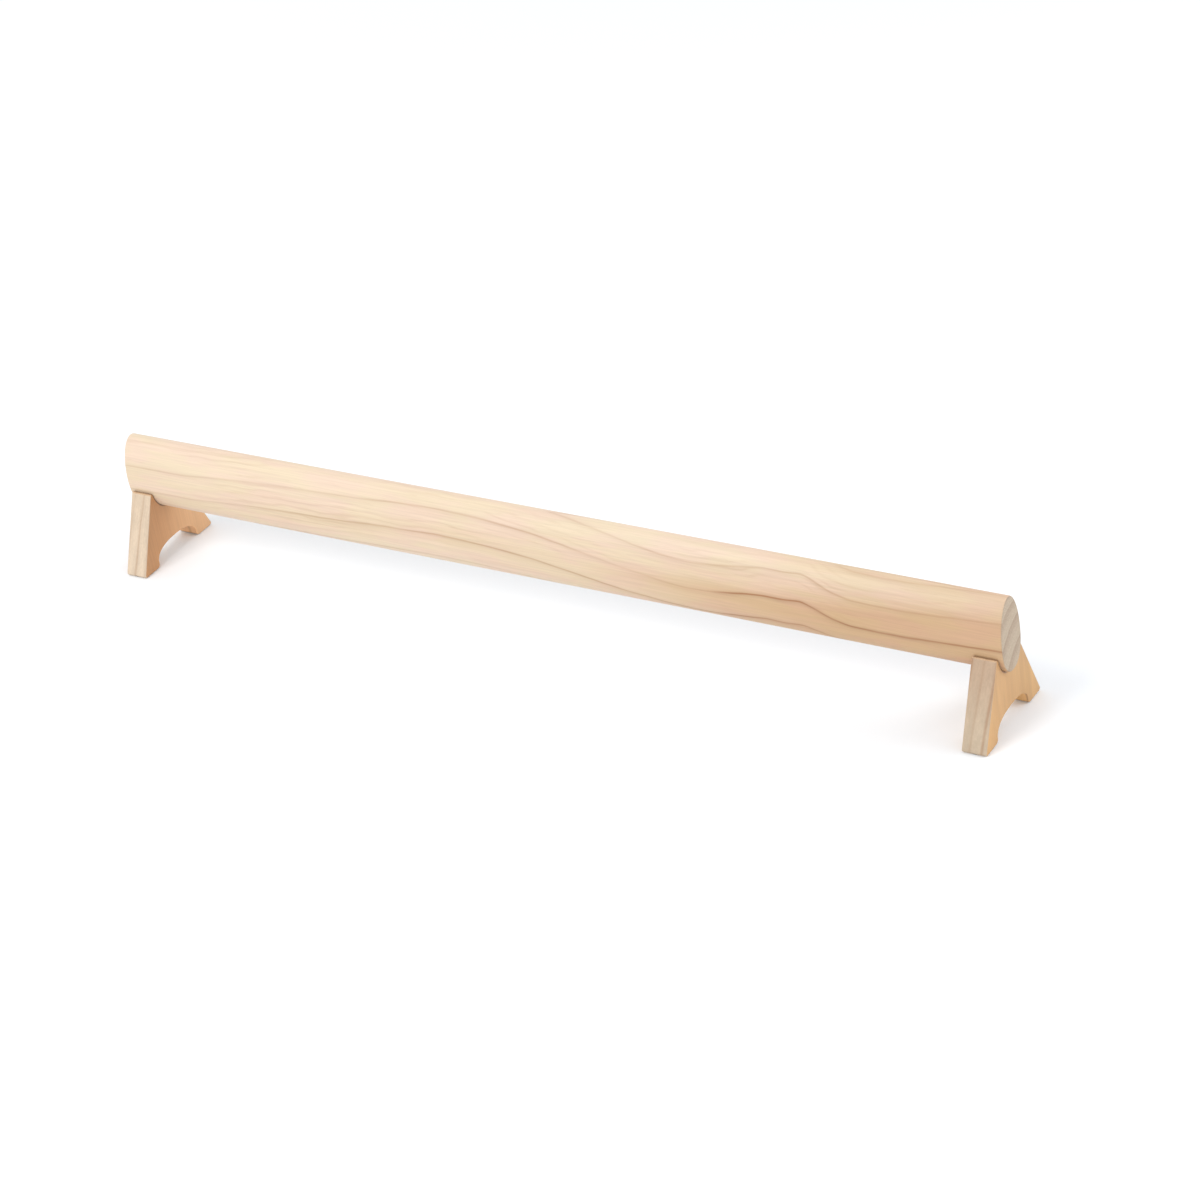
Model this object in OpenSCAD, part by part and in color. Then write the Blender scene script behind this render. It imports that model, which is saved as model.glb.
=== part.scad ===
// Low wooden floor bar: one egg-section pine rail lying in the saddles of two flared bracket feet.
// The origin is on the floor under the middle of the rail. X runs along the rail and Z is up.

/* [Rail] */
// Overall length of the rail
rail_length = 1010; // [600:10:1400]
// Width of the rail across its widest part
rail_width = 40; // [36:1:42]
// Depth of the rail from crown to belly
rail_depth = 78; // [74:1:82]
// Height of the crown above the floor
crown_height = 139; // [136:1:146]
// Share of the rail's depth that lies above its widest part
crown_share = 0.56; // [0.5:0.02:0.6]
// Fullness of the crown, where 2 is a true half ellipse
crown_fullness = 2; // [1.8:0.05:2.4]
// Fullness of the belly, where more is squarer
belly_fullness = 2.3; // [2:0.1:3]

/* [Feet] */
// Width of a foot across its toes
foot_width = 120; // [110:2:160]
// Thickness of the board that a foot is sawn from
foot_thickness = 25; // [24:1:34]
// Height of the two horns that hold the rail
horn_height = 82; // [78:1:86]
// Distance between the outer edges of the two horns
horn_spread = 46; // [45:1:54]
// Set-back of a foot's outer face from the end of the rail
foot_inset = 5; // [0:0.5:40]
// Width of the arch at the floor, between the rounded toe corners
arch_width = 66; // [60:2:72]
// Height of the arch
arch_height = 21; // [16:1:24]
// Fullness of the arch, where 2 is a half ellipse
arch_fullness = 2.4; // [2:0.1:3]
// Radius of the rounded inner corner of a toe
toe_radius = 4; // [2:0.5:6]
// Gap between the tip of a horn and the rail, closing towards the belly
saddle_gap = 0.4; // [0.2:0.1:0.8]

/* [Fixings] */
// Overall length of a wood screw
screw_length = 70; // [55:1:75]
// Diameter over a screw's thread and of its plain shank
screw_diameter = 5; // [4:0.5:6]
// Diameter of a screw's core, under the thread
screw_core = 3.4; // [2.6:0.1:3.8]
// Distance from one thread crest to the next
thread_pitch = 3; // [2:0.5:4]
// Diameter of a screw's countersunk head
screw_head = 9.6; // [8.6:0.2:10]
// Distance of a screw from the middle of a foot
screw_offset = 12; // [11:0.5:13]
// Depth of the bore that hides a screw's head
head_bore_depth = 6; // [4:0.5:8]
// Diameter of the fluted locating dowel
dowel_diameter = 10; // [8:1:10]
// Length of the locating dowel
dowel_length = 50; // [40:2:56]

/* [Floor pads] */
// Diameter of a pad
pad_diameter = 18; // [12:1:20]
// Thickness of a pad
pad_thickness = 2; // [1.5:0.5:3]
// How far a pad stands proud of the toe
pad_proud = 0.5; // [0.2:0.1:1]

/* [Hidden] */

LEFT = -1;
RIGHT = 1;
FRONT = -1;
BACK = 1;

pine = "BurlyWood";
beech = "Wheat";
zinc = "Silver";
rubber = "DimGray";

outline_steps = 60;
arc_steps = 12;
round_fn = 48;
slack = 0.05;

belly_height = crown_height - rail_depth;
crown_rise = rail_depth * crown_share;
belly_drop = rail_depth - crown_rise;
widest_height = belly_height + belly_drop;

foot_x = rail_length / 2 - foot_inset - foot_thickness / 2;
arch_half = arch_width / 2;
arch_rise = arch_height - toe_radius;

screw_seat = arch_roof(screw_offset) + head_bore_depth;
head_rim = 0.5;
head_drop = head_rim + (screw_head - screw_diameter) / 2;
head_bore = screw_head + 0.6;
recess_length = 5;
recess_width = 1;
recess_depth = 1.8;
point_length = 6;
thread_turns = 12;
thread_start = screw_length - point_length - thread_turns * thread_pitch;

dowel_chamfer = 1;
dowel_glue_space = 1;
flutes = 14;
flute_depth = 0.4;
flute_radius = 0.7;

pad_y = (foot_width / 2 + arch_half + toe_radius) / 2;
pad_chamfer = 0.4;

// One point of a rounded half outline, for an angle from 0 at its right to 180 at its left
function lobe(half_width, rise, fullness, angle) = [
    half_width * sign(cos(angle)) * pow(abs(cos(angle)), 2 / fullness),
    rise * pow(abs(sin(angle)), 2 / fullness)
];

// Outline of the rail's egg section, wider by gap on each side
function egg(gap) = concat(
    [
        for (i = [0:outline_steps])
            lobe(rail_width / 2 + gap, crown_rise, crown_fullness, 180 * i / outline_steps)
            + [0, widest_height]
    ],
    [
        for (i = [1:outline_steps - 1])
            [0, widest_height]
            - lobe(rail_width / 2 + gap, belly_drop, belly_fullness, 180 * i / outline_steps)
    ]
);

// Height of the arch's roof above the floor at a distance y from the middle of a foot
function arch_roof(y) =
    pad_proud + toe_radius
    + arch_rise * pow(1 - pow(abs(y) / arch_half, arch_fullness), 1 / arch_fullness);

// Points of a toe's rounded inner corner, about a centre at y, between two angles
function toe_arc(y, from, to) = [
    for (i = [0:arc_steps])
        let (angle = from + (to - from) * i / arc_steps)
        [y + toe_radius * cos(angle), pad_proud + toe_radius * (1 + sin(angle))]
];

// Outline of a foot: sole, arch, sole, then straight sides up to the tips of the horns
foot_outline = concat(
    [[-foot_width / 2, pad_proud]],
    toe_arc(-arch_half - toe_radius, -90, 0),
    [
        for (i = [1:outline_steps - 1])
            lobe(arch_half, arch_rise, arch_fullness, 180 - 180 * i / outline_steps)
            + [0, pad_proud + toe_radius]
    ],
    toe_arc(arch_half + toe_radius, 180, 270),
    [
        [foot_width / 2, pad_proud],
        [horn_spread / 2, horn_height],
        [-horn_spread / 2, horn_height]
    ]
);

// Stands a YZ outline on its edge, with a thickness along X about a middle at x
module plank(x, thickness) {
    translate([x - thickness / 2, 0, 0])
        rotate([90, 0, 90])
            linear_extrude(thickness)
                children();
}

// A round bar or bore that stands on a point and runs upwards
module upright(x, y, z, diameter, length) {
    translate([x, y, z])
        cylinder(d = diameter, h = length, $fn = round_fn);
}

// Straight-grained beam, shaped on a spindle moulder and cut square at both ends
module rail() {
    color(pine)
        difference() {
            plank(0, rail_length)
                polygon(egg(0));
            for (side = [LEFT, RIGHT]) {
                dowel_bore(side);
                for (end = [FRONT, BACK])
                    shank_bore(side, end);
            }
        }
}

// Bracket sawn from one board, with a saddle for the rail and an arch that leaves two toes
module foot(side) {
    color(pine)
        difference() {
            plank(side * foot_x, foot_thickness)
                polygon(foot_outline);
            plank(side * foot_x, foot_thickness + 2)
                polygon(egg(saddle_gap));
            dowel_bore(side);
            for (end = [FRONT, BACK]) {
                shank_bore(side, end);
                head_pocket(side, end);
                pad_recess(side, end);
            }
        }
}

// Bore for a screw's shank and thread, through the foot and into the rail
module shank_bore(side, end) {
    upright(side * foot_x, end * screw_offset, screw_seat, screw_diameter + 2 * slack, screw_length + 1);
}

// Counterbore in the arch's roof, ending in a cone for the screw's head
module head_pocket(side, end) {
    upright(side * foot_x, end * screw_offset, pad_proud + toe_radius, head_bore,
        screw_seat - pad_proud - toe_radius);
    translate([side * foot_x, end * screw_offset, screw_seat])
        rotate_extrude($fn = round_fn)
            polygon([
                [0, -1],
                [screw_head / 2 + slack, -1],
                [screw_head / 2 + slack, head_rim],
                [screw_diameter / 2 + slack, head_drop],
                [0, head_drop]
            ]);
}

// Blind bores that face each other across the belly, for the dowel
module dowel_bore(side) {
    upright(side * foot_x, 0, belly_height - dowel_length / 2 - dowel_glue_space,
        dowel_diameter + 2 * slack, dowel_length + 2 * dowel_glue_space);
}

// Shallow round recess in a toe's sole, for the floor pad
module pad_recess(side, end) {
    upright(side * foot_x, end * pad_y, -1, pad_diameter + 2 * slack, 1 + pad_thickness);
}

// Countersunk wood screw, head down, driven up through the arch into the rail
module screw(side, end) {
    color(zinc)
        translate([side * foot_x, end * screw_offset, screw_seat])
            difference() {
                rotate_extrude($fn = round_fn)
                    polygon(concat(
                        [
                            [0, 0],
                            [screw_head / 2, 0],
                            [screw_head / 2, head_rim],
                            [screw_diameter / 2, head_drop],
                            [screw_diameter / 2, thread_start]
                        ],
                        [
                            for (turn = [0:thread_turns - 1])
                                for (half = [0, 1])
                                    [
                                        half == 0 ? screw_core / 2 : screw_diameter / 2,
                                        thread_start + thread_pitch * (turn + 0.5 * half + 0.25)
                                    ]
                        ],
                        [
                            [screw_core / 2, screw_length - point_length],
                            [0, screw_length]
                        ]
                    ));
                for (turned = [0, 90])
                    rotate([0, 0, turned])
                        translate([-recess_length / 2, -recess_width / 2, -1])
                            cube([recess_length, recess_width, 1 + recess_depth]);
            }
}

// Fluted beech dowel that locates the foot on the rail
module dowel(side) {
    color(beech)
        translate([side * foot_x, 0, belly_height - dowel_length / 2])
            difference() {
                rotate_extrude($fn = round_fn)
                    polygon([
                        [0, 0],
                        [dowel_diameter / 2 - dowel_chamfer, 0],
                        [dowel_diameter / 2, dowel_chamfer],
                        [dowel_diameter / 2, dowel_length - dowel_chamfer],
                        [dowel_diameter / 2 - dowel_chamfer, dowel_length],
                        [0, dowel_length]
                    ]);
                for (flute = [0:flutes - 1])
                    rotate([0, 0, 360 * flute / flutes])
                        translate([dowel_diameter / 2 + flute_radius - flute_depth, 0, -1])
                            cylinder(r = flute_radius, h = dowel_length + 2, $fn = 16);
            }
}

// Soft disc glued into a toe's recess, standing slightly proud of the sole
module pad(side, end) {
    color(rubber)
        translate([side * foot_x, end * pad_y, 0])
            rotate_extrude($fn = round_fn)
                polygon([
                    [0, 0],
                    [pad_diameter / 2 - pad_chamfer, 0],
                    [pad_diameter / 2, pad_chamfer],
                    [pad_diameter / 2, pad_thickness],
                    [0, pad_thickness]
                ]);
}

rail();
foot(LEFT);  // left_foot
foot(RIGHT);  // right_foot
screw(LEFT, FRONT);  // left_front_screw
screw(LEFT, BACK);  // left_back_screw
screw(RIGHT, FRONT);  // right_front_screw
screw(RIGHT, BACK);  // right_back_screw
dowel(LEFT);  // left_dowel
dowel(RIGHT);  // right_dowel
pad(LEFT, FRONT);  // left_front_pad
pad(LEFT, BACK);  // left_back_pad
pad(RIGHT, FRONT);  // right_front_pad
pad(RIGHT, BACK);  // right_back_pad
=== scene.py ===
import math

import bmesh
import bpy
import numpy as np
from mathutils import Matrix, Vector


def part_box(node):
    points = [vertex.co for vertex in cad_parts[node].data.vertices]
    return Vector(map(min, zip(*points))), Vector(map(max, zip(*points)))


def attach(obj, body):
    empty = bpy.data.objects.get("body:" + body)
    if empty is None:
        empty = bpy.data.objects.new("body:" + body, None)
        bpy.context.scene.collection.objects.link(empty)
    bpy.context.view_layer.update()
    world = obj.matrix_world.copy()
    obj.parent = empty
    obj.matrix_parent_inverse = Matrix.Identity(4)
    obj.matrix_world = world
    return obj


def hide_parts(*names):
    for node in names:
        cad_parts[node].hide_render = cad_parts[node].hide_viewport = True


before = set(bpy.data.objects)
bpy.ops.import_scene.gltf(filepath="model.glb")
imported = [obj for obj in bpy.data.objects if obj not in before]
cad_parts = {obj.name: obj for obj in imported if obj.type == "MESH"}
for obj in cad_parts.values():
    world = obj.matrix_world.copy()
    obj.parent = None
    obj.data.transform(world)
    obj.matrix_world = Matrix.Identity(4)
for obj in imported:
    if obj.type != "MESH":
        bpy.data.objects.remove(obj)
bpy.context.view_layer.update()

MM = 0.001


# ---------------------------------------------------------------------------------------------
# The setting. The bar stands on a plain white floor. A long-lens camera looks down at it from the
# right front, tilted a little to one side. A wide soft key shines from the left front, a cooler
# fill from the right back, and a faint third light on the floor in the far left corner.
camera_place = Vector((1.6905, -2.2701, 1.7554))
camera_aim = Vector((0.0822, -0.0317, 0.0700))
camera_roll = math.radians(-9.27)
camera_lens = 100.4

forward = (camera_aim - camera_place).normalized()
level_right = forward.cross(Vector((0, 0, 1))).normalized()
level_up = level_right.cross(forward)
right = level_right * math.cos(camera_roll) + level_up * math.sin(camera_roll)
up = level_up * math.cos(camera_roll) - level_right * math.sin(camera_roll)
camera_data = bpy.data.cameras.new("camera")
camera_data.lens = camera_lens
camera_data.sensor_width = 36
camera = bpy.data.objects.new("camera", camera_data)
turn = Matrix((right, up, -forward)).transposed().to_4x4()
camera.matrix_world = Matrix.Translation(camera_place) @ turn
bpy.context.collection.objects.link(camera)
bpy.context.scene.camera = camera
bpy.context.scene.view_settings.view_transform = "Standard"


def soft_light(name, place, aim, size, watts, colour):
    """A square area light at a place, turned to face its aim."""
    data = bpy.data.lights.new(name, "AREA")
    data.shape = "SQUARE"
    data.size = size
    data.energy = watts
    data.color = colour
    lamp = bpy.data.objects.new(name, data)
    lamp.location = place
    lamp.rotation_euler = (Vector(aim) - Vector(place)).to_track_quat("-Z", "Y").to_euler()
    bpy.context.collection.objects.link(lamp)


soft_light("key_light", (-0.8, -2.1, 2.4), (0, 0, 0.05), 1.6, 46, (1.0, 0.985, 0.96))
soft_light("fill_light", (2.2, 1.1, 1.2), (0, 0, 0.05), 1.6, 24, (0.97, 0.98, 1.0))
soft_light("corner_light", (-2.2, 1.9, 1.2), (-1.8, 1.4, 0), 1.0, 3.0, (1.0, 0.99, 0.96))

world = bpy.data.worlds.new("pale_room")
world.use_nodes = True
world.node_tree.nodes["Background"].inputs["Color"].default_value = (0.97, 0.985, 1.0, 1)
world.node_tree.nodes["Background"].inputs["Strength"].default_value = 0.88
bpy.context.scene.world = world

floor_half = 14.0
floor_mesh = bpy.data.meshes.new("floor")
floor_mesh.from_pydata(
    [(-floor_half, -floor_half, 0), (floor_half, -floor_half, 0),
     (floor_half, floor_half, 0), (-floor_half, floor_half, 0)],
    [], [(0, 1, 2, 3)])
floor = bpy.data.objects.new("floor", floor_mesh)
bpy.context.collection.objects.link(floor)
floor_paint = bpy.data.materials.new("floor_white")
floor_paint.use_nodes = True
floor_shader = floor_paint.node_tree.nodes["Principled BSDF"]
floor_shader.inputs["Base Color"].default_value = (0.90, 0.92, 0.945, 1)
floor_shader.inputs["Roughness"].default_value = 0.9
floor_shader.inputs["Specular IOR Level"].default_value = 0.1
floor_mesh.materials.append(floor_paint)


# ---------------------------------------------------------------------------------------------
# The rail. One length of slow-grown pine, run through a spindle moulder to an egg section, cut
# square at both ends, sanded, and sealed with a clear satin lacquer. Wavy growth lines run along
# it, because the log's rings lean across the section and wander along its length.
rail_low, rail_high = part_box("rail")
rail_half = rail_high.x
rail_width = rail_high.y - rail_low.y
rail_depth = rail_high.z - rail_low.z
crown_share = 0.56
crown_fullness = 2.0
belly_fullness = 2.3
rail_easing = 1.2 * MM


def egg_section(angle, spare=0.0):
    """Points of the egg section, widened by spare on each side. The cosine and the sine of the
    angle are each raised to 2 over the fullness, with their signs kept, and scaled by half the
    width and by the rise of the crown or the drop of the belly."""
    across, high = np.cos(angle), np.sin(angle)
    over = high >= 0
    power = 2 / np.where(over, crown_fullness, belly_fullness)
    reach = np.where(over, crown_share, 1 - crown_share) * rail_depth
    y = (rail_width / 2 + spare) * np.sign(across) * np.abs(across) ** power
    z = rail_high.z - crown_share * rail_depth + reach * np.sign(high) * np.abs(high) ** power
    return y, z


# The girth is measured from the crown, down the front, under the belly and up the back.
girth_y, girth_z = egg_section(np.linspace(math.pi / 2, math.pi * 5 / 2, 6001))
girth = np.r_[0, np.cumsum(np.hypot(np.diff(girth_y), np.diff(girth_z)))]
girth_end = girth[-1]

# Rings cross the section on a slant: they leave the front face at one height and the back face
# at a higher one. A ring's depth is its girth on the front, and ring_back gives the girth on the
# back, measured from the crown, that belongs to the same ring.
deepest = 0.56 * girth_end
ring_depths = np.array([0, 50, 75, 97, deepest / MM]) * MM
ring_back = np.array([0, 29, 51, 73, (girth_end - deepest) / MM]) * MM
ring_gap = 27.5 * MM

# One growth line along the rail: how far along it is, and its girth below the crown there.
line_along = np.array([-505, -420, -340, -250, -170, -110, -60, 0, 50, 105, 150, 180, 205, 230,
                       260, 280, 300, 315, 330, 350, 375, 410, 440, 505]) * MM
line_down = np.array([35, 34, 27.5, 24.5, 20.5, 18.5, 20, 25, 33, 42.5, 49.5, 51.5, 50, 47,
                      43.5, 44, 42, 48, 54.5, 59, 60, 60, 58, 54.5]) * MM


def growth_line(x):
    """Depth of the growth line at x: straight stretches between the chosen points, rounded by
    a running average under a raised cosine."""
    fine = np.arange(-0.56, 0.56, 0.001)
    window = np.hanning(19)
    unsure = 30  # points at each end that the average spoils
    rounded = np.convolve(np.interp(fine, line_along, line_down), window / window.sum(), "same")
    return np.interp(x, fine[unsure:-unsure], rounded[unsure:-unsure])


# Strength of the three lines on the front face, at eight places along the rail. They are darkest
# round the swirl to the right of the middle. The other lines keep one strength each.
mark_along = np.array([-0.50, -0.30, 0.00, 0.12, 0.20, 0.235, 0.35, 0.50])
front_marks = {
    -1: [0.10, 0.14, 0.34, 0.32, 0.32, 0.44, 0.36, 0.32],
    0: [0.24, 0.30, 0.42, 0.22, 0.32, 1.45, 1.35, 1.25],
    1: [0.20, 0.34, 0.54, 0.55, 0.90, 1.20, 0.80, 0.60],
}
other_marks = np.array([0.6, 0.6, 0.38, 0.5, 0.35, 0.42, 0.26, 0.34])


def line_strength(ring, x):
    """How dark the line nearest to a ring number is at x: its own strength there, with straight
    stretches between the chosen places."""
    number = np.round(ring).astype(int)
    levels = [np.interp(x, mark_along, marks) for marks in front_marks.values()]
    return np.select([number == line for line in front_marks], levels, other_marks[number % 8])


def grid_faces(rows, columns, closed=False, turned=False):
    """Four-cornered faces of a grid of points: each joins a point, the next one in its row and
    the two beside them in the next row. A closed grid's rows join end to start."""
    row = np.arange(rows - 1)[:, None]
    column = np.arange(columns if closed else columns - 1)[None, :]
    after = (column + 1) % columns
    corners = [row * columns + column, row * columns + after,
               (row + 1) * columns + after, (row + 1) * columns + column]
    faces = np.stack(np.broadcast_arrays(*corners), -1).reshape(-1, 4)
    return faces[:, ::-1] if turned else faces


def solid_piece(name, patches, attributes):
    """One closed mesh object from patches of points and faces, welded where they meet. Faces with
    more than four corners are flat ends, and the others are shaded as one smooth surface."""
    points = np.concatenate([patch[0].reshape(-1, 3) for patch in patches])
    starts = np.cumsum([0] + [patch[0].size // 3 for patch in patches])
    faces = sum(((patch[1] + start).tolist() for patch, start in zip(patches, starts)), [])
    mesh = bpy.data.meshes.new(name)
    mesh.from_pydata(points.tolist(), [], faces)
    for label, values in attributes.items():
        layer = mesh.attributes.new(label, "FLOAT", "POINT")
        layer.data.foreach_set("value", np.ascontiguousarray(values, np.float32))
    work = bmesh.new()
    work.from_mesh(mesh)
    bmesh.ops.remove_doubles(work, verts=work.verts, dist=2e-6)
    work.to_mesh(mesh)
    work.free()
    corners = np.zeros(len(mesh.polygons), np.int32)
    mesh.polygons.foreach_get("loop_total", corners)
    mesh.polygons.foreach_set("use_smooth", corners <= 4)
    piece = bpy.data.objects.new(name, mesh)
    bpy.context.collection.objects.link(piece)
    return piece


def rail_piece():
    """The rail's skin is the egg section carried along X, drawn in by a quarter circle at each
    end. Each end face is a ladder whose rungs follow the rings from the front to the back."""
    rungs = 84
    depth = np.linspace(0, deepest, rungs + 1)
    front = depth
    back = girth_end - np.interp(depth, ring_depths, ring_back)
    round_girth = np.r_[front, back[-2:0:-1]]
    round_depth = np.r_[depth, depth[-2:0:-1]]
    y = np.interp(round_girth, girth, girth_y)
    z = np.interp(round_girth, girth, girth_z)
    step = 0.4 * MM
    along = np.stack([np.interp((round_girth + s) % girth_end, girth, g) for g in (girth_y, girth_z)
                      for s in (-step, step)])
    out_y, out_z = along[3] - along[2], along[0] - along[1]
    size = np.hypot(out_y, out_z)
    out_y, out_z = out_y / size, out_z / size

    bend = np.linspace(0, math.pi / 2, 6)
    end_x = rail_half - rail_easing * (1 - np.sin(bend))
    end_inset = rail_easing * (1 - np.cos(bend))
    middle = np.linspace(-end_x[0], end_x[0], 281)
    x = np.r_[-end_x[:0:-1], middle, end_x[1:]]
    inset = np.r_[end_inset[:0:-1], 0 * middle, end_inset[1:]]
    skin = np.stack(np.broadcast_arrays(
        x[:, None], y - out_y * inset[:, None], z - out_z * inset[:, None]), -1)
    skin_ring = (round_depth - growth_line(x)[:, None]) / ring_gap
    patches = [(skin, grid_faces(len(x), len(y), closed=True))]
    rings = [skin_ring.ravel()]
    places = [np.broadcast_to(x[:, None], skin_ring.shape).ravel()]

    across = np.linspace(0, 1, 25)
    for row, turned in ((0, False), (len(x) - 1, True)):
        start = skin[row, :rungs + 1]
        stop = np.concatenate([skin[row, :1], skin[row, :rungs - 1:-1]])
        face = start[:, None] * (1 - across[:, None]) + stop[:, None] * across[:, None]
        ring = skin_ring[row, :rungs + 1, None] + 0.5 * across * (1 - across)
        patches.append((face, grid_faces(rungs + 1, len(across), turned=turned)))
        rings.append(ring.ravel())
        places.append(np.full(ring.size, x[row]))
    ring = np.concatenate(rings)
    mark = line_strength(ring, np.concatenate(places))
    return solid_piece("pine_rail", patches, {"ring": ring, "mark": mark})


def drill(piece, holes):
    """Bores upright holes in a piece. Each is a closed cylinder, from its (x, y, bottom, top,
    diameter): two rings of points at the radius, and a fan to a point in the middle of each end."""
    sides = 48
    turn = np.linspace(0, 2 * math.pi, sides, endpoint=False)
    here = np.arange(sides)
    after = (here + 1) % sides
    middle_low, middle_high = np.full(sides, 2 * sides), np.full(sides, 2 * sides + 1)
    walls = np.stack([here, after, after + sides, here + sides], -1)
    fan_low = np.stack([after, here, middle_low], -1)
    fan_high = np.stack([here + sides, after + sides, middle_high], -1)
    points, faces = [], []
    for x, y, bottom, top, diameter in holes:
        first = sum(len(part) for part in points)
        circle = np.stack([x + diameter / 2 * np.cos(turn), y + diameter / 2 * np.sin(turn)], -1)
        low, high = (np.c_[circle, np.full(sides, z)] for z in (bottom, top))
        points += [low, high, np.array([(x, y, bottom), (x, y, top)])]
        for group in (walls, fan_low, fan_high):
            faces += (group + first).tolist()
    mesh = bpy.data.meshes.new("drill")
    mesh.from_pydata(np.concatenate(points).tolist(), [], faces)
    bit = bpy.data.objects.new("drill", mesh)
    bpy.context.collection.objects.link(bit)
    cut = piece.modifiers.new("bore", "BOOLEAN")
    cut.operation = "DIFFERENCE"
    cut.solver = "MANIFOLD"
    cut.object = bit
    graph = bpy.context.evaluated_depsgraph_get()
    graph.update()
    bored = bpy.data.meshes.new_from_object(
        piece.evaluated_get(graph), preserve_all_data_layers=True, depsgraph=graph)
    bored.materials.clear()
    piece.modifiers.clear()
    piece.data = bored
    bpy.data.objects.remove(bit)


def fixing_bores(end):
    """The bores at one end of the bar: one for the dowel, and one for each of the two screws,
    each a hair wider than what goes into it. Places and sizes come from the fixings."""
    holes = []
    for fixing in ("dowel", "front_screw", "back_screw"):
        low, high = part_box(end + "_" + fixing)
        bottom = low.z if fixing == "dowel" else low.z + screw_neck
        middle = (low + high) / 2
        width = high.x - low.x if fixing == "dowel" else screw_shank
        holes.append((middle.x, middle.y, bottom - MM, high.z + MM, width + 0.1 * MM))
    return holes


def node(tree, kind, settings=(), **inputs):
    """One shader node. Settings are its own properties, and inputs are numbers, colours or the
    sockets that feed it. A leading s and a number names an input by its place."""
    made = tree.nodes.new(kind)
    for key, value in dict(settings).items():
        setattr(made, key, value)
    for key, value in inputs.items():
        socket = made.inputs[int(key[1:]) if key[1:].isdigit() else key.replace("_", " ")]
        if isinstance(value, bpy.types.NodeSocket):
            tree.links.new(value, socket)
        else:
            socket.default_value = value
    return made


def maths(tree, operation, first, second=0.0, third=0.0):
    """The result of one sum, product or other operation on numbers."""
    made = node(tree, "ShaderNodeMath", {"operation": operation}, s0=first, s1=second, s2=third)
    return made.outputs[0]


def product(tree, *values):
    """All the values multiplied together."""
    result = values[0]
    for value in values[1:]:
        result = maths(tree, "MULTIPLY", result, value)
    return result


def ramp(tree, value, low, high, out_low=0.0, out_high=1.0):
    """A smooth step: out_low where the value is under low, out_high where it is over high."""
    made = node(tree, "ShaderNodeMapRange", {"interpolation_type": "SMOOTHSTEP"}, Value=value,
                From_Min=low, From_Max=high, To_Min=out_low, To_Max=out_high)
    return made.outputs["Result"]


def blend(tree, amount, first, second):
    """Two colours mixed by an amount."""
    return node(tree, "ShaderNodeMix", {"data_type": "RGBA"}, s0=amount, s6=first, s7=second).outputs[2]


def shaded(tree, colour, shade):
    """A colour multiplied by a number."""
    return node(tree, "ShaderNodeVectorMath", {"operation": "SCALE"}, s0=colour, Scale=shade).outputs[0]


def noise(tree, scale, detail=3.0, shift=(0, 0, 0)):
    """Noise on the object's own coordinates, with a separate scale along each axis."""
    place = node(tree, "ShaderNodeTexCoord").outputs["Object"]
    moved = node(tree, "ShaderNodeMapping", Vector=place, Scale=scale, Location=shift)
    made = node(tree, "ShaderNodeTexNoise", Vector=moved.outputs[0], Scale=1.0, Detail=detail,
                Roughness=0.6)
    return made.outputs["Fac"]


def facing(tree, axis):
    """How squarely the surface faces along an axis, from 0 to 1."""
    normal = node(tree, "ShaderNodeNewGeometry").outputs["Normal"]
    return maths(tree, "ABSOLUTE", node(tree, "ShaderNodeSeparateXYZ", Vector=normal).outputs[axis])


def position(tree, axis):
    """The place along one axis of the object, in metres."""
    place = node(tree, "ShaderNodeTexCoord").outputs["Object"]
    return node(tree, "ShaderNodeSeparateXYZ", Vector=place).outputs[axis]


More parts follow.
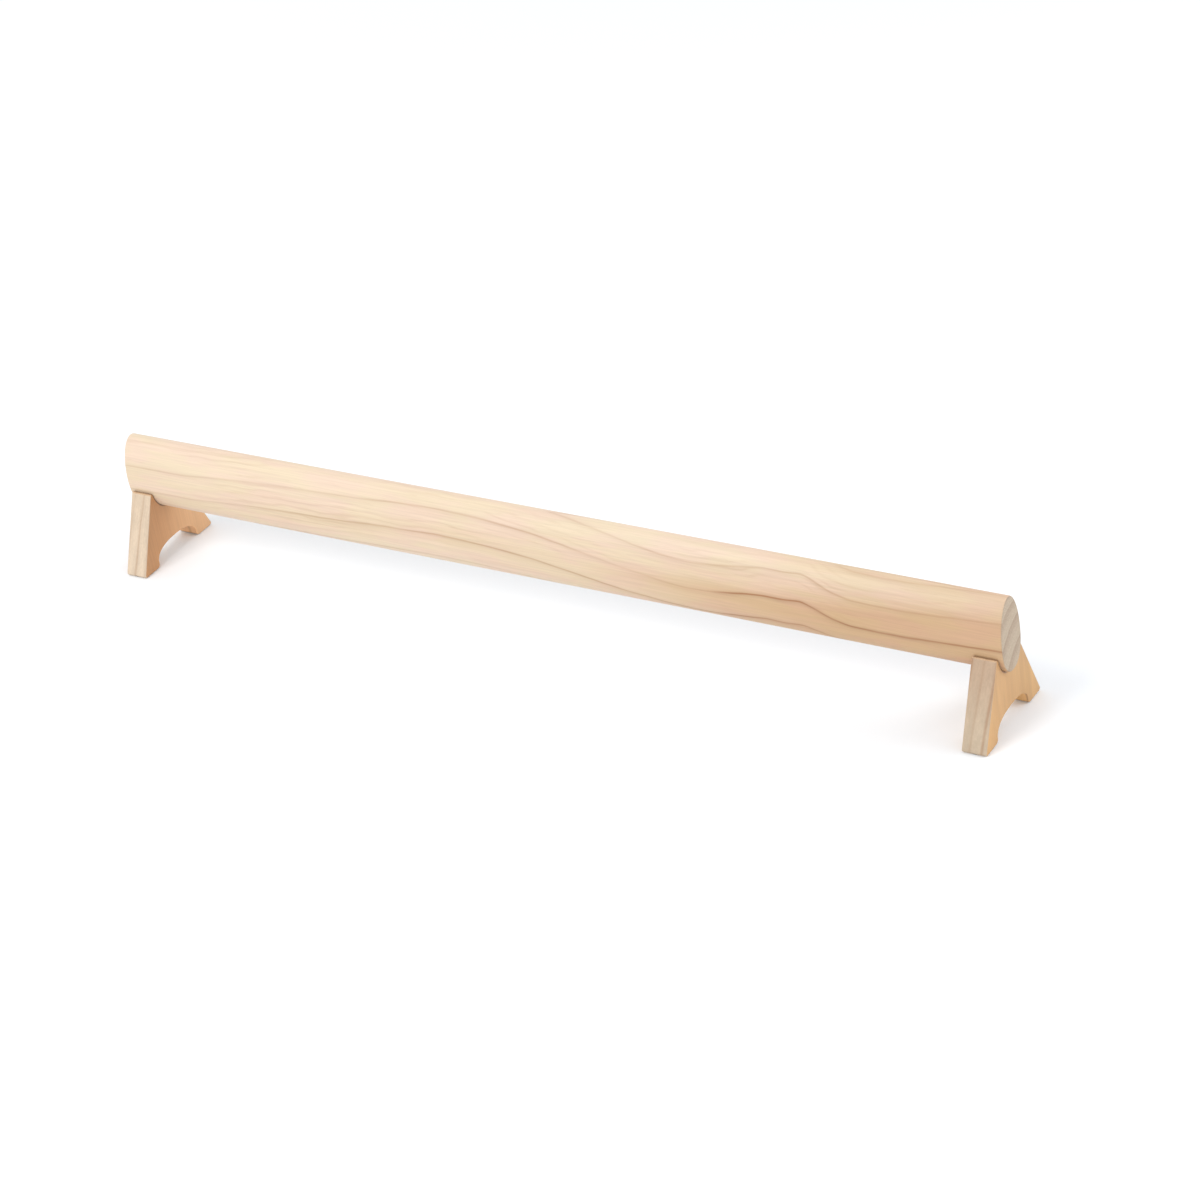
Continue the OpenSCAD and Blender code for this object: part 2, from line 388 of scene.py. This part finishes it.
def pine(name, along, rings, ground, line, end_pale, end_dark, line_width=0.055, joint_shadow=None):
    """Lacquered pine with its grain along an axis. rings gives a count of growth rings and how
    strongly they show: late wood draws a dark line at each whole number, with a tan shade that
    fades away below it. Fibres are noise stretched along the grain, and short dashes are resin
    canals. Faces cut across the grain are greyer and show pores. A last, optional mask paints
    the shadow in a joint dark."""
    material = bpy.data.materials.new(name)
    material.use_nodes = True
    tree = material.node_tree
    shader = tree.nodes["Principled BSDF"]

    def stretch(lengthwise, crosswise):
        return tuple(lengthwise if axis == along else crosswise for axis in range(3))

    ring, mark = rings(tree)
    waver = noise(tree, stretch(14, 60), 2.0)
    ring = maths(tree, "MULTIPLY_ADD", maths(tree, "SUBTRACT", waver, 0.5), 0.11, ring)
    nearest = maths(tree, "PINGPONG", ring, 0.5)
    patchy = ramp(tree, noise(tree, stretch(9, 40), 2.0, (3, 1, 7)), 0.3, 0.62, 0.42, 1.0)
    core = product(tree, ramp(tree, nearest, 0.004, line_width, 0.9, 0.0), mark, patchy)
    below = ramp(tree, maths(tree, "FRACT", ring), 0.0, 0.42, 1.0, 0.0)
    lead = product(tree, below, maths(tree, "MINIMUM", mark, 0.8), 0.36)
    halo = product(tree, ramp(tree, nearest, 0.0, 0.16, 0.35, 0.0), mark)
    fine_ring = maths(tree, "MULTIPLY_ADD", ring, 4.0, maths(tree, "MULTIPLY", waver, 1.6))
    fine = ramp(tree, maths(tree, "PINGPONG", fine_ring, 0.5), 0.0, 0.3, 1.0, 0.0)
    shown = ramp(tree, noise(tree, stretch(5, 30), 2.0, (5, 2, 1)), 0.42, 0.7, 0.0, 0.17)
    faint = product(tree, fine, shown)
    fibre = noise(tree, stretch(12, 700), 4.0)
    dash = ramp(tree, noise(tree, stretch(45, 1500), 1.0, (2, 9, 4)), 0.66, 0.76)

    colour = ground(tree)
    tan = shaded(tree, colour, 0.84)
    colour = blend(tree, maths(tree, "ADD", lead, halo), colour, blend(tree, 0.35, tan, line))
    colour = blend(tree, maths(tree, "ADD", faint, maths(tree, "MULTIPLY", dash, 0.14)), colour, line)
    colour = blend(tree, core, colour, line)
    colour = shaded(tree, colour, ramp(tree, fibre, 0.25, 0.75, 0.94, 1.05))

    pores = noise(tree, (1100, 1100, 1100), 2.0)
    late = ramp(tree, maths(tree, "FRACT", ring), 0.0, 0.7, 0.8, 0.0)
    late = maths(tree, "MULTIPLY_ADD", fine, 0.2, late)
    cut_colour = blend(tree, late, end_pale, end_dark)
    cut_colour = shaded(tree, cut_colour, ramp(tree, pores, 0.3, 0.65, 0.84, 1.04))
    cut_across = ramp(tree, facing(tree, along), 0.6, 0.93)
    colour = blend(tree, cut_across, colour, cut_colour)
    # Painted shadow: the joint's mask darkens the colour towards the line colour.
    if joint_shadow:
        colour = blend(tree, joint_shadow(tree), colour, tuple(0.8 * part for part in line[:3]) + (1,))
    tree.links.new(colour, shader.inputs["Base Color"])

    rough = maths(tree, "MULTIPLY_ADD", fibre, 0.16, maths(tree, "MULTIPLY_ADD", cut_across, 0.2, 0.42))
    tree.links.new(rough, shader.inputs["Roughness"])
    shader.inputs["Specular IOR Level"].default_value = 0.35
    height = maths(tree, "MULTIPLY_ADD", core, -0.8, fibre)
    height = maths(tree, "MULTIPLY_ADD", dash, -0.7, height)
    height = maths(tree, "MULTIPLY_ADD", product(tree, pores, cut_across), 1.5, height)
    bump = node(tree, "ShaderNodeBump", Height=height, Strength=0.35, Distance=0.00012)
    tree.links.new(bump.outputs[0], shader.inputs["Normal"])
    return material


def rail_rings(tree):
    """The ring count and line strength that the rail's mesh carries."""
    return tuple(node(tree, "ShaderNodeAttribute", {"attribute_name": label}).outputs["Fac"]
                 for label in ("ring", "mark"))


def rail_ground(tree):
    """Cream wood that warms to tan towards the right end, in soft streaks, with pinkish and
    yellowish patches. The warming to the right is partly heartwood and partly painted light: the
    key light's fall-off away from the left end. The lower part of the section is also darker and
    warmer, which is painted shade on the underside."""
    drift = noise(tree, (2.6, 24, 24), 3.0, (1, 4, 2))
    # Partly painted light: tan grows towards the right end for the key light's fall-off from the left,
    # and partly heartwood.
    rightward = ramp(tree, position(tree, 0), -0.06, 0.60)
    # Painted shade: darker, warmer wood towards the belly, where the section faces down.
    underside_shade = ramp(tree, position(tree, 2), rail_high.z - 0.6 * rail_depth, rail_high.z, 1.0, 0.0)
    warmth_and_shade = maths(tree, "MULTIPLY_ADD", maths(tree, "SUBTRACT", drift, 0.5), 0.8,
                   product(tree, rightward, maths(tree, "MULTIPLY_ADD", underside_shade, 0.6, 0.5)))
    warmth_and_shade = maths(tree, "MULTIPLY_ADD", underside_shade, 0.28, warmth_and_shade)
    blush = ramp(tree, noise(tree, (16, 70, 70), 2.0, (7, 3, 5)), 0.35, 0.65)
    cream = blend(tree, blush, (0.725, 0.595, 0.430, 1), (0.738, 0.572, 0.447, 1))
    heart = blend(tree, blush, (0.565, 0.374, 0.210, 1), (0.570, 0.356, 0.218, 1))
    return blend(tree, ramp(tree, warmth_and_shade, 0.0, 1.0), cream, heart)


screw_shank = 5 * MM
screw_neck = 2.8 * MM
rail = rail_piece()
drill(rail, fixing_bores("left") + fixing_bores("right"))
rail.data.materials.append(pine(
    "rail_pine", 0, rail_rings, rail_ground, line=(0.36, 0.18, 0.085, 1),
    end_pale=(0.465, 0.372, 0.275, 1), end_dark=(0.37, 0.275, 0.20, 1)))
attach(rail, "root")
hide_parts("rail")


# ---------------------------------------------------------------------------------------------
# The two feet. Each is sawn from one board with the grain upright, has a saddle band-sawn and
# sanded to the rail's belly, an arch that leaves two toes, and arrises eased by hand.
foot_easing = 0.9 * MM
arch_half = 33 * MM
arch_height = 21 * MM
arch_fullness = 2.4
toe_radius = 4 * MM
horn_half = 23 * MM
saddle_spare = 0.4 * MM
tip_radius = 2.2 * MM
horn_radius = 1.2 * MM


def corner_arc(before, corner, after, radius, steps=7):
    """A corner of an outline as an arc of the radius that touches both of its sides."""
    before, corner, after = (np.array(p, float) for p in (before, corner, after))
    inward = (before - corner) / np.linalg.norm(before - corner)
    outward = (after - corner) / np.linalg.norm(after - corner)
    half = math.acos(np.clip(inward @ outward, -1, 1)) / 2
    middle = corner + (inward + outward) / np.linalg.norm(inward + outward) * radius / math.sin(half)
    first = corner + inward * radius / math.tan(half) - middle
    last = corner + outward * radius / math.tan(half) - middle
    swing = np.arctan2(first[0] * last[1] - first[1] * last[0], first @ last)
    angle = np.linspace(0, swing, steps)[:, None]
    aside = np.array([-first[1], first[0]])
    return middle + first * np.cos(angle) + aside * np.sin(angle)


def spaced(points, count):
    """A line of points drawn again with evenly spaced ones."""
    run = np.r_[0, np.cumsum(np.hypot(*np.diff(points, axis=0).T))]
    place = np.linspace(0, run[-1], count)
    return np.stack([np.interp(place, run, points[:, k]) for k in (0, 1)], -1)


def foot_sides(sole, top, half_width):
    """The outline of a foot as four lines of points, in Y and Z, that run round it: the sole with
    its arch, the back edge, the saddle between the horn tips, and the front edge. The arch is a
    half outline like the rail's, and its toes end in quarter circles."""
    sweep = np.linspace(0, math.pi / 2, 9)
    toe_y = arch_half + toe_radius - toe_radius * np.sin(sweep)
    toe_z = sole + toe_radius - toe_radius * np.cos(sweep)
    over = np.linspace(0, math.pi, 61)[1:-1]
    roof_y = arch_half * np.sign(np.cos(over)) * np.abs(np.cos(over)) ** (2 / arch_fullness)
    roof_z = sole + toe_radius + (arch_height - toe_radius) * np.sin(over) ** (2 / arch_fullness)
    toe, tip = (half_width, sole), (horn_half, top)
    y, z = egg_section(np.linspace(math.pi, 2 * math.pi, 400), saddle_spare)
    inner = np.interp(top, z[199::-1], y[199::-1])
    below = z < top
    saddle = np.stack([y[below], z[below]], -1)
    saddle = np.r_[[(inner, top)], saddle, [(-inner, top)]]
    toe_corner = corner_arc((0, sole), toe, tip, tip_radius)
    horn_corner = corner_arc(toe, tip, (-inner, top), horn_radius)
    horn_inner = corner_arc(tip, (-inner, top), saddle[-12], horn_radius)
    mirror = np.array([-1, 1])
    half_sole = np.r_[np.stack([toe_y[::-1], toe_z[::-1]], -1), toe_corner[:1]]
    bottom = np.r_[half_sole[::-1] * mirror, np.stack([roof_y, roof_z], -1)[::-1], half_sole]
    back = np.r_[toe_corner, horn_corner]
    inside = saddle[(saddle[:, 0] > -horn_inner[-1][0]) & (saddle[:, 0] < horn_inner[-1][0])]
    seat = np.r_[horn_corner[-1:], horn_inner, inside[::-1], (horn_inner * mirror)[::-1],
                 horn_corner[-1:] * mirror]
    front = (back * mirror)[::-1]
    return spaced(bottom, 181), spaced(back, 61), spaced(seat, 181), spaced(front, 61)


def outline_normals(loop):
    """Unit normals that point out of a closed outline that runs anticlockwise."""
    along = np.roll(loop, -1, 0) - np.roll(loop, 1, 0)
    out = np.stack([along[:, 1], -along[:, 0]], -1)
    return out / np.linalg.norm(out, axis=1, keepdims=True)


def foot_piece(name, node_name):
    """A foot is its outline carried through the board's thickness, drawn in by a quarter circle
    at both faces, and closed by one flat face at each end."""
    low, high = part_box(node_name)
    bottom, back, seat, front = foot_sides(low.z, high.z, high.y)
    loop = np.r_[bottom[:-1], back[:-1], seat[:-1], front[:-1]]
    out = outline_normals(loop)
    bend = np.linspace(0, math.pi / 2, 7)
    face_x = high.x - foot_easing * (1 - np.sin(bend))
    draw_in = foot_easing * (1 - np.cos(bend))
    centre = (low.x + high.x) / 2
    middle = np.linspace(2 * centre - face_x[0], face_x[0], 15)
    x = np.r_[2 * centre - face_x[:0:-1], middle, face_x[1:]]
    inset = np.r_[draw_in[:0:-1], 0 * middle, draw_in[1:]]
    rim = loop[None] - out[None] * inset[:, None, None]
    wall = np.concatenate([np.broadcast_to(x[:, None, None], rim.shape[:2] + (1,)), rim], -1)
    patches = [(wall, grid_faces(len(x), len(loop), closed=True))]
    around = np.arange(len(loop))[None]
    patches += [(wall[0], around[:, ::-1]), (wall[-1], around)]
    return solid_piece(name, patches, {})


def foot_bores(end, foot_low):
    """The bores in one foot: a pocket that hides each screw's head, opening into the arch, a
    shallow recess for each floor pad, and the bores that the fixings pass through."""
    holes = fixing_bores(end)
    for which in ("front", "back"):
        low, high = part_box(end + "_" + which + "_screw")
        middle = (low + high) / 2
        pocket = high.x - low.x + 0.6 * MM
        holes.append((middle.x, middle.y, foot_low.z + toe_radius, low.z + screw_neck, pocket))
        low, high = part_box(end + "_" + which + "_pad")
        middle = (low + high) / 2
        holes.append((middle.x, middle.y, -MM, high.z, high.x - low.x + 0.1 * MM))
    return holes


def foot_rings(pith_x, strength):
    """Rings round a pith that runs upright at pith_x, well away from the board: the count is the
    distance from the pith over the ring gap, and the pith leans and wanders a little. Odd rings
    show at the full strength, even ones less, and the broad faces graze them and show little."""
    def rings(tree):
        lean = noise(tree, (3, 3, 9), 1.0, (4, 4, 1))
        across = maths(tree, "SUBTRACT", position(tree, 0), pith_x)
        across = maths(tree, "MULTIPLY_ADD", maths(tree, "SUBTRACT", lean, 0.5), 0.008, across)
        aside = position(tree, 1)
        squares = maths(tree, "ADD", product(tree, across, across), product(tree, aside, aside))
        away = maths(tree, "SQRT", squares)
        count = maths(tree, "MULTIPLY", away, 1 / foot_ring_gap)
        odd = ramp(tree, maths(tree, "PINGPONG", count, 1.0), 0.3, 0.7, 0.4, 1.0)
        grazed = ramp(tree, facing(tree, 0), 0.5, 0.9, strength, 0.35 * strength)
        return count, product(tree, odd, grazed)
    return rings


def foot_ground(edge_low, edge_high, face_front, face_back):
    """The outer edges, planed square to the rings, are greyer than the broad faces, and warmer
    towards the horns. The broad faces blend from a front shade to a back shade; on the left foot
    this is painted light, darker at the front and lighter towards the back. The walls of the arch,
    and other faces turned in towards the middle, are made paler, which is painted light that
    lifts the shade they fall in. All drift between a lighter and a darker shade in streaks up the
    board."""
    def ground(tree):
        streak = ramp(tree, noise(tree, (90, 60, 7), 3.0, (2, 6, 3)), 0.3, 0.7, 0.93, 1.06)
        normal = node(tree, "ShaderNodeNewGeometry").outputs["Normal"]
        sideways = node(tree, "ShaderNodeSeparateXYZ", Vector=normal).outputs[1]
        outward = product(tree, sideways, position(tree, 1))
        edge = blend(tree, ramp(tree, position(tree, 2), 0.01, horn_top), edge_low, edge_high)
        # Painted light on the left foot: its broad faces are darker at the front and lighter towards
        # the back.
        face = blend(tree, ramp(tree, position(tree, 1), -0.03, 0.045), face_front, face_back)
        # Painted light: faces turned in towards the middle, which fall in shade, are made a quarter
        # brighter.
        face = shaded(tree, face, ramp(tree, outward, -0.012, 0.0, 1.25, 1.0))
        return shaded(tree, blend(tree, ramp(tree, outward, 0.0, 0.012), face, edge), streak)
    return ground


def saddle_joint_shadow(tree):
    """1 on the saddle and over the inner part of the horns' tips: painted shadow in the joint where
    the rail sits, which also stands for a dark glue line. The distance from the saddle is that of
    the egg section."""
    half = rail_width / 2
    drop = (1 - crown_share) * rail_depth
    widest = rail_high.z - crown_share * rail_depth
    across = maths(tree, "DIVIDE", position(tree, 1), half)
    across = maths(tree, "POWER", maths(tree, "ABSOLUTE", across), belly_fullness)
    below = maths(tree, "DIVIDE", maths(tree, "SUBTRACT", widest, position(tree, 2)), drop)
    below = maths(tree, "POWER", maths(tree, "ABSOLUTE", below), belly_fullness)
    reach = maths(tree, "POWER", maths(tree, "ADD", across, below), 1 / belly_fullness)
    near_saddle = ramp(tree, reach, 1 + 0.6 * MM / half, 1 + 1.5 * MM / half, 1.0, 0.0)
    tip = product(tree, ramp(tree, position(tree, 2), horn_top - 0.9 * MM, horn_top - 0.3 * MM),
                  ramp(tree, maths(tree, "ABSOLUTE", position(tree, 1)), 20.3 * MM, 22 * MM, 1.0, 0.0))
    return maths(tree, "MAXIMUM", near_saddle, tip)


foot_ring_gap = 12 * MM
horn_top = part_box("left_foot")[1].z
# The left foot's shades are partly painted light: lighter than the right's for the key light's fall-off
# from the left end, and its broad faces darker at the front for painted shade.
foot_woods = {
    "left": (-0.7833, 0.40, ((0.64, 0.51, 0.38, 1), (0.62, 0.49, 0.36, 1),
                             (0.545, 0.28, 0.128, 1), (0.66, 0.385, 0.200, 1))),
    "right": (0.2010, 0.75, ((0.515, 0.405, 0.290, 1), (0.475, 0.335, 0.230, 1),
                             (0.590, 0.345, 0.150, 1), (0.575, 0.340, 0.145, 1))),
}
for end, (pith_x, strength, shades) in foot_woods.items():
    foot = foot_piece("pine_foot_" + end, end + "_foot")
    drill(foot, foot_bores(end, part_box(end + "_foot")[0]))
    foot.data.materials.append(pine(
        "foot_pine_" + end, 2, foot_rings(pith_x, strength), foot_ground(*shades),
        line=(0.36, 0.20, 0.11, 1), end_pale=(0.66, 0.46, 0.29, 1), end_dark=(0.56, 0.38, 0.24, 1),
        line_width=0.20, joint_shadow=saddle_joint_shadow))
    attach(foot, "root")
    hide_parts(end + "_foot")


# ---------------------------------------------------------------------------------------------
# The fixings. Zinc-plated countersunk wood screws are driven up through each arch into the
# rail, and a fluted beech dowel is glued between foot and rail.
def finish_nodes(names, material):
    """Gives one material to every slot of the named parts."""
    for name in names:
        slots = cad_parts[name].data.materials
        slots.clear()
        slots.append(material)


def zinc_plate():
    """Zinc plate with a bluish passivated bloom, drawing lines round the turned steel, and
    duller roughened patches where the driver has rubbed it."""
    material = bpy.data.materials.new("zinc_steel")
    material.use_nodes = True
    tree = material.node_tree
    shader = tree.nodes["Principled BSDF"]
    bloom = ramp(tree, noise(tree, (260, 260, 120), 3.0), 0.35, 0.65)
    lines = noise(tree, (90, 90, 5200), 2.0)
    rub = ramp(tree, noise(tree, (700, 700, 700), 3.0, (3, 3, 3)), 0.5, 0.62)
    colour = blend(tree, bloom, (0.62, 0.64, 0.67, 1), (0.70, 0.68, 0.62, 1))
    colour = shaded(tree, colour, ramp(tree, rub, 0.0, 1.0, 1.0, 0.8))
    tree.links.new(colour, shader.inputs["Base Color"])
    rough = maths(tree, "MULTIPLY_ADD", rub, 0.22, maths(tree, "MULTIPLY_ADD", lines, 0.18, 0.22))
    tree.links.new(rough, shader.inputs["Roughness"])
    shader.inputs["Metallic"].default_value = 1.0
    bump = node(tree, "ShaderNodeBump", Height=lines, Strength=0.25, Distance=0.00005)
    tree.links.new(bump.outputs[0], shader.inputs["Normal"])
    return material


def raw_beech():
    """Unfinished beech with its grain upright: pinkish tan, with short dark ray flecks."""
    material = bpy.data.materials.new("dowel_beech")
    material.use_nodes = True
    tree = material.node_tree
    shader = tree.nodes["Principled BSDF"]
    fibre = noise(tree, (900, 900, 40), 3.0)
    fleck = ramp(tree, noise(tree, (2200, 2200, 320), 1.0, (5, 1, 2)), 0.62, 0.72)
    colour = blend(tree, ramp(tree, fibre, 0.3, 0.7), (0.60, 0.40, 0.25, 1), (0.68, 0.48, 0.32, 1))
    colour = blend(tree, product(tree, fleck, 0.5), colour, (0.33, 0.18, 0.10, 1))
    tree.links.new(colour, shader.inputs["Base Color"])
    tree.links.new(maths(tree, "MULTIPLY_ADD", fibre, 0.2, 0.6), shader.inputs["Roughness"])
    bump = node(tree, "ShaderNodeBump", Height=fibre, Strength=0.4, Distance=0.0001)
    tree.links.new(bump.outputs[0], shader.inputs["Normal"])
    return material


finish_nodes([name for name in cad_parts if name.endswith("_screw")], zinc_plate())
finish_nodes([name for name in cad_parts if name.endswith("_dowel")], raw_beech())


# ---------------------------------------------------------------------------------------------
# The floor pads. Soft dark rubber discs are glued into the recesses under the toes, and keep
# the bar from sliding. Only a thin rim of each shows below the wood.
def pad_rubber():
    """Matt rubber with a fine moulded grain, dusty where it touches the floor."""
    material = bpy.data.materials.new("pad_rubber")
    material.use_nodes = True
    tree = material.node_tree
    shader = tree.nodes["Principled BSDF"]
    grain = noise(tree, (2600, 2600, 2600), 3.0)
    dust = ramp(tree, noise(tree, (160, 160, 160), 3.0, (1, 2, 3)), 0.4, 0.7)
    colour = blend(tree, dust, (0.035, 0.034, 0.033, 1), (0.075, 0.070, 0.064, 1))
    colour = shaded(tree, colour, ramp(tree, grain, 0.3, 0.7, 0.85, 1.12))
    tree.links.new(colour, shader.inputs["Base Color"])
    tree.links.new(maths(tree, "MULTIPLY_ADD", dust, 0.15, 0.72), shader.inputs["Roughness"])
    bump = node(tree, "ShaderNodeBump", Height=grain, Strength=0.4, Distance=0.0001)
    tree.links.new(bump.outputs[0], shader.inputs["Normal"])
    return material


finish_nodes([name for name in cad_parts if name.endswith("_pad")], pad_rubber())
